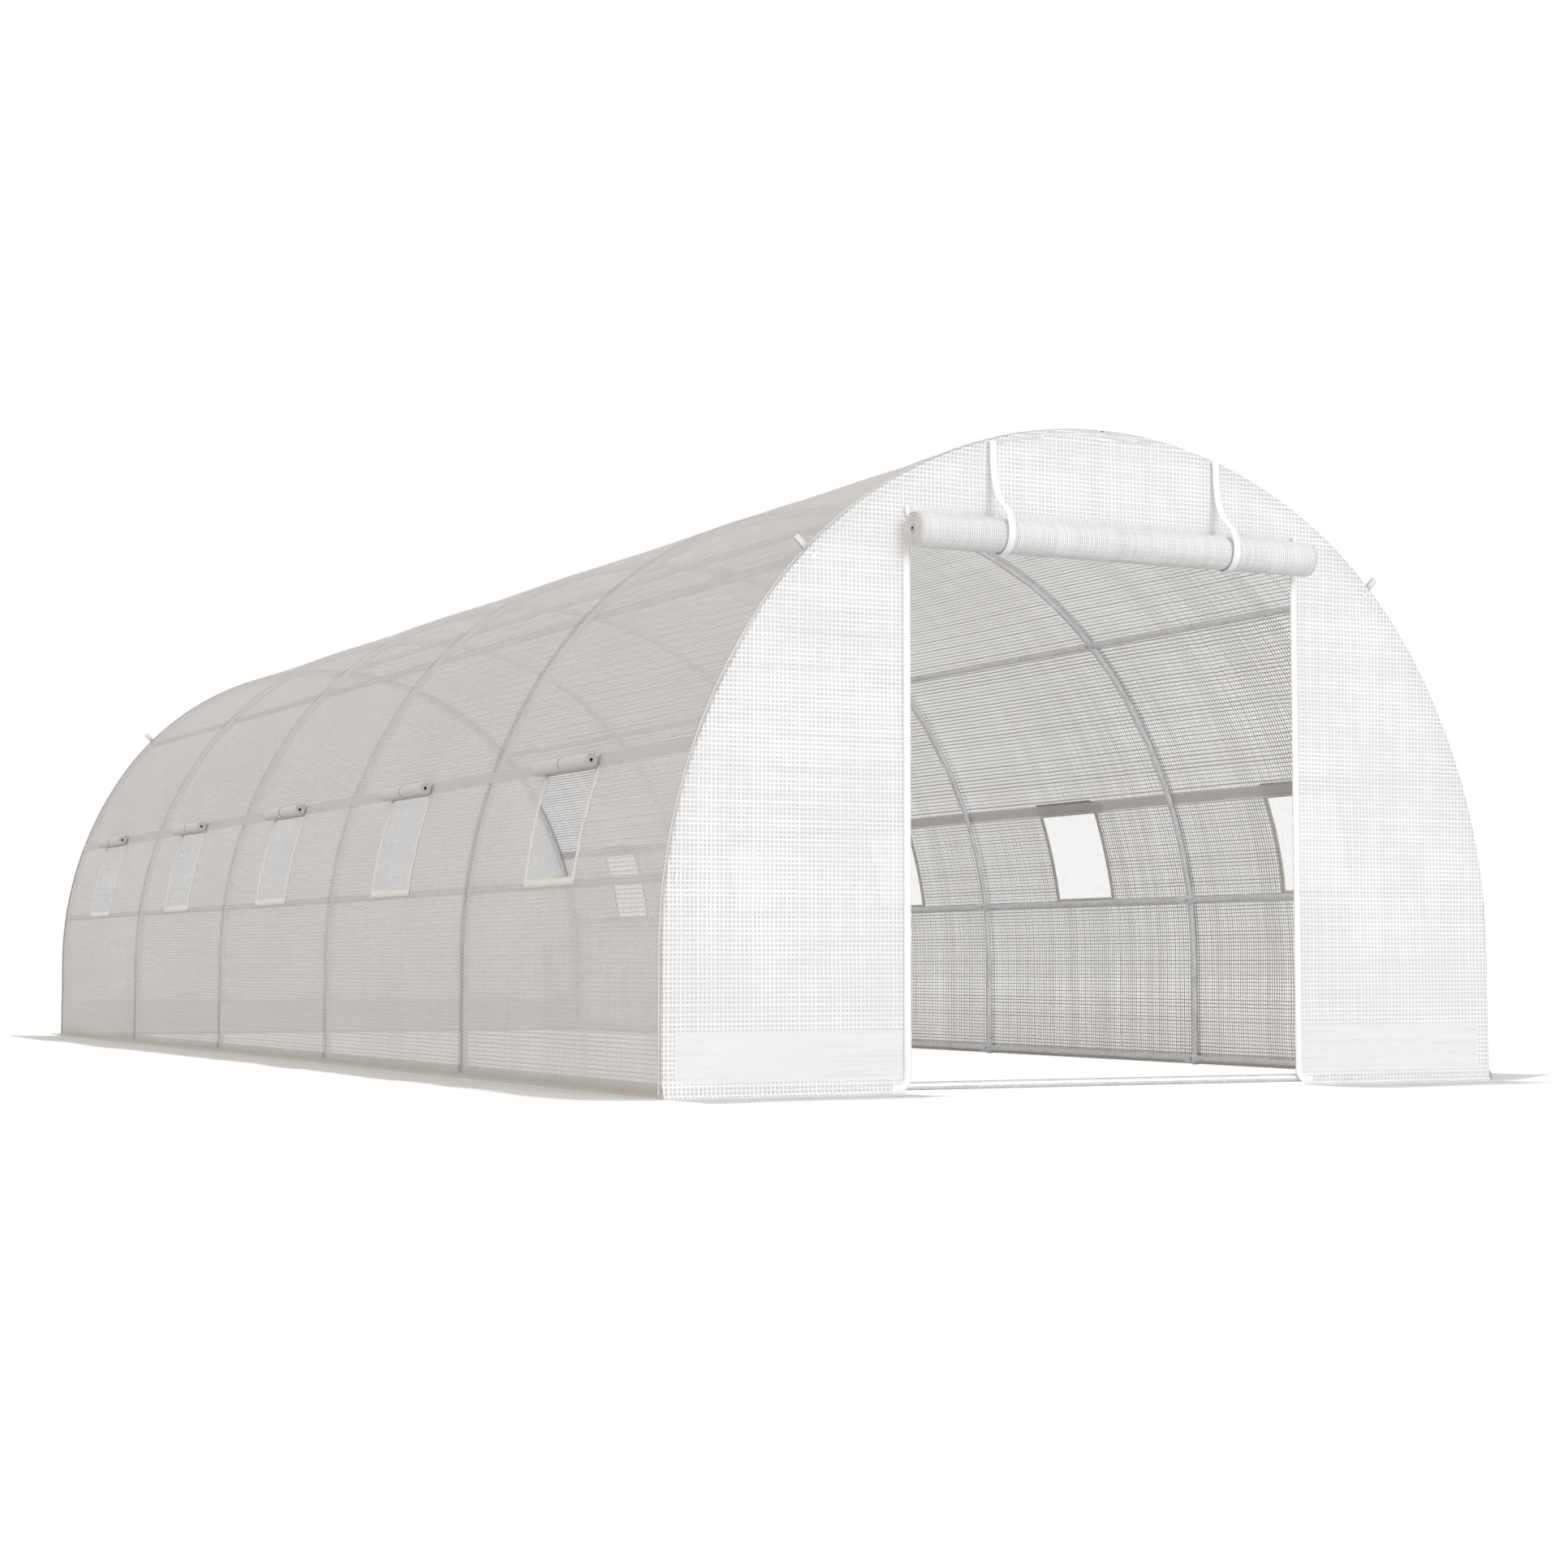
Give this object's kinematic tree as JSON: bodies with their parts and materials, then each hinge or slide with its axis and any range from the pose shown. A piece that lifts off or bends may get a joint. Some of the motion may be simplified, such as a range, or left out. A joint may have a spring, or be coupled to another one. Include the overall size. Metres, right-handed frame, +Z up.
{
  "type": "tunnel greenhouse",
  "caption": "Walk-in tunnel greenhouse: steel tube hoops and rails under a white mesh-cloth cover with roll-up windows and a roll-up zipped door.",
  "frame": {"origin": "on the ground, under the middle of the tunnel", "axes": "+Z up, +Y along the tunnel away from the door, +X to the right seen from the door end"},
  "size_m": [3.6008, 8.6808, 2.049],
  "materials": {
    "galvanised_tube": "galvanised steel tube, satin, slightly cloudy",
    "cover_cloth": "translucent laminated mesh cloth with a woven reinforcing grid",
    "ground_flap_cloth": "the same mesh cloth, lying on the ground",
    "door_cloth": "the same mesh cloth, rolled up",
    "window_flap_cloth": "the same mesh cloth, rolled up, with a pale binding",
    "window_net": "fine pale insect net",
    "white_webbing": "white woven tape",
    "zip_tape": "white woven zip tape with a plastic coil",
    "zip_slider": "white painted slider and pull"
  },
  "bodies": {
    "root": {"hoop_1": "galvanised_tube", "hoop_2": "galvanised_tube", "hoop_3": "galvanised_tube", "hoop_4": "galvanised_tube", "hoop_5": "galvanised_tube", "hoop_6": "galvanised_tube", "base_rail_left": "galvanised_tube", "base_rail_right": "galvanised_tube", "mid_rail_left": "galvanised_tube", "mid_rail_right": "galvanised_tube", "upper_rail_left": "galvanised_tube", "upper_rail_right": "galvanised_tube", "ridge_rail": "galvanised_tube", "front_sill": "galvanised_tube", "back_sill": "galvanised_tube", "cover_roof": "cover_cloth", "cover_wall_left": "cover_cloth", "cover_wall_right": "cover_cloth", "cover_front_panel": "cover_cloth", "cover_back_panel": "cover_cloth", "ground_flap_left": "ground_flap_cloth", "ground_flap_right": "ground_flap_cloth", "ground_flap_front_left": "ground_flap_cloth", "ground_flap_front_right": "ground_flap_cloth", "ground_flap_back": "ground_flap_cloth", "window_net_left_1": "window_net", "window_net_left_2": "window_net", "window_net_left_3": "window_net", "window_net_left_4": "window_net", "window_net_left_5": "window_net", "window_net_right_1": "window_net", "window_net_right_2": "window_net", "window_net_right_3": "window_net", "window_net_right_4": "window_net", "window_net_right_5": "window_net", "guy_loop_front_left": "white_webbing", "guy_loop_front_right": "white_webbing", "guy_loop_back_left": "white_webbing", "guy_loop_back_right": "white_webbing", "door_zip_left": "zip_tape", "door_zip_right": "zip_tape", "door_sheet": "door_cloth", "door_tie_left": "white_webbing", "door_tie_right": "white_webbing"},
    "rolled_door": {"door_roll": "door_cloth", "door_tie_loop_left": "white_webbing", "door_tie_loop_right": "white_webbing"},
    "left_slider": {"zip_slider_left": "zip_slider"},
    "right_slider": {"zip_slider_right": "zip_slider"},
    "left_window_1_flap": {"window_roll_left_1": "window_flap_cloth"},
    "left_window_2_flap": {"window_roll_left_2": "window_flap_cloth"},
    "left_window_3_flap": {"window_roll_left_3": "window_flap_cloth"},
    "left_window_4_flap": {"window_roll_left_4": "window_flap_cloth"},
    "left_window_5_flap": {"window_roll_left_5": "window_flap_cloth"},
    "right_window_1_flap": {"window_roll_right_1": "window_flap_cloth"},
    "right_window_2_flap": {"window_roll_right_2": "window_flap_cloth"},
    "right_window_3_flap": {"window_roll_right_3": "window_flap_cloth"},
    "right_window_4_flap": {"window_roll_right_4": "window_flap_cloth"},
    "right_window_5_flap": {"window_roll_right_5": "window_flap_cloth"}
  },
  "joints": [
    {"name": "door_unroll", "type": "slide", "parent": "root", "child": "rolled_door", "axis": [0, 0, -1], "range_m": [0, 1.57], "deforming": ["door_sheet"]},
    {"name": "left_zip_slide", "type": "slide", "parent": "root", "child": "left_slider", "axis": [0, 0, -1], "range_m": [0, 1.57]},
    {"name": "right_zip_slide", "type": "slide", "parent": "root", "child": "right_slider", "axis": [0, 0, -1], "range_m": [0, 1.57]},
    {"name": "left_window_1_unroll", "type": "hinge", "parent": "root", "child": "left_window_1_flap", "pos_m": [0.3, -3.037, 0.408], "axis": [0, -1, 0], "range_deg": [0, 13.2]},
    {"name": "left_window_2_unroll", "type": "hinge", "parent": "root", "child": "left_window_2_flap", "pos_m": [0.3, -1.4745, 0.408], "axis": [0, -1, 0], "range_deg": [0, 13.2]},
    {"name": "left_window_3_unroll", "type": "hinge", "parent": "root", "child": "left_window_3_flap", "pos_m": [0.3, 0.088, 0.408], "axis": [0, -1, 0], "range_deg": [0, 13.2]},
    {"name": "left_window_4_unroll", "type": "hinge", "parent": "root", "child": "left_window_4_flap", "pos_m": [0.3, 1.6505, 0.408], "axis": [0, -1, 0], "range_deg": [0, 13.2]},
    {"name": "left_window_5_unroll", "type": "hinge", "parent": "root", "child": "left_window_5_flap", "pos_m": [0.3, 3.213, 0.408], "axis": [0, -1, 0], "range_deg": [0, 13.2]},
    {"name": "right_window_1_unroll", "type": "hinge", "parent": "root", "child": "right_window_1_flap", "pos_m": [-0.3, -3.152, 0.408], "axis": [0, 1, 0], "range_deg": [0, 13.2]},
    {"name": "right_window_2_unroll", "type": "hinge", "parent": "root", "child": "right_window_2_flap", "pos_m": [-0.3, -1.5895, 0.408], "axis": [0, 1, 0], "range_deg": [0, 13.2]},
    {"name": "right_window_3_unroll", "type": "hinge", "parent": "root", "child": "right_window_3_flap", "pos_m": [-0.3, -0.027, 0.408], "axis": [0, 1, 0], "range_deg": [0, 13.2]},
    {"name": "right_window_4_unroll", "type": "hinge", "parent": "root", "child": "right_window_4_flap", "pos_m": [-0.3, 1.5355, 0.408], "axis": [0, 1, 0], "range_deg": [0, 13.2]},
    {"name": "right_window_5_unroll", "type": "hinge", "parent": "root", "child": "right_window_5_flap", "pos_m": [-0.3, 3.098, 0.408], "axis": [0, 1, 0], "range_deg": [0, 13.2]}
  ],
  "couplings": [
    {"joint": "left_zip_slide", "follows": "door_unroll", "ratio": 1},
    {"joint": "right_zip_slide", "follows": "door_unroll", "ratio": 1}
  ]
}
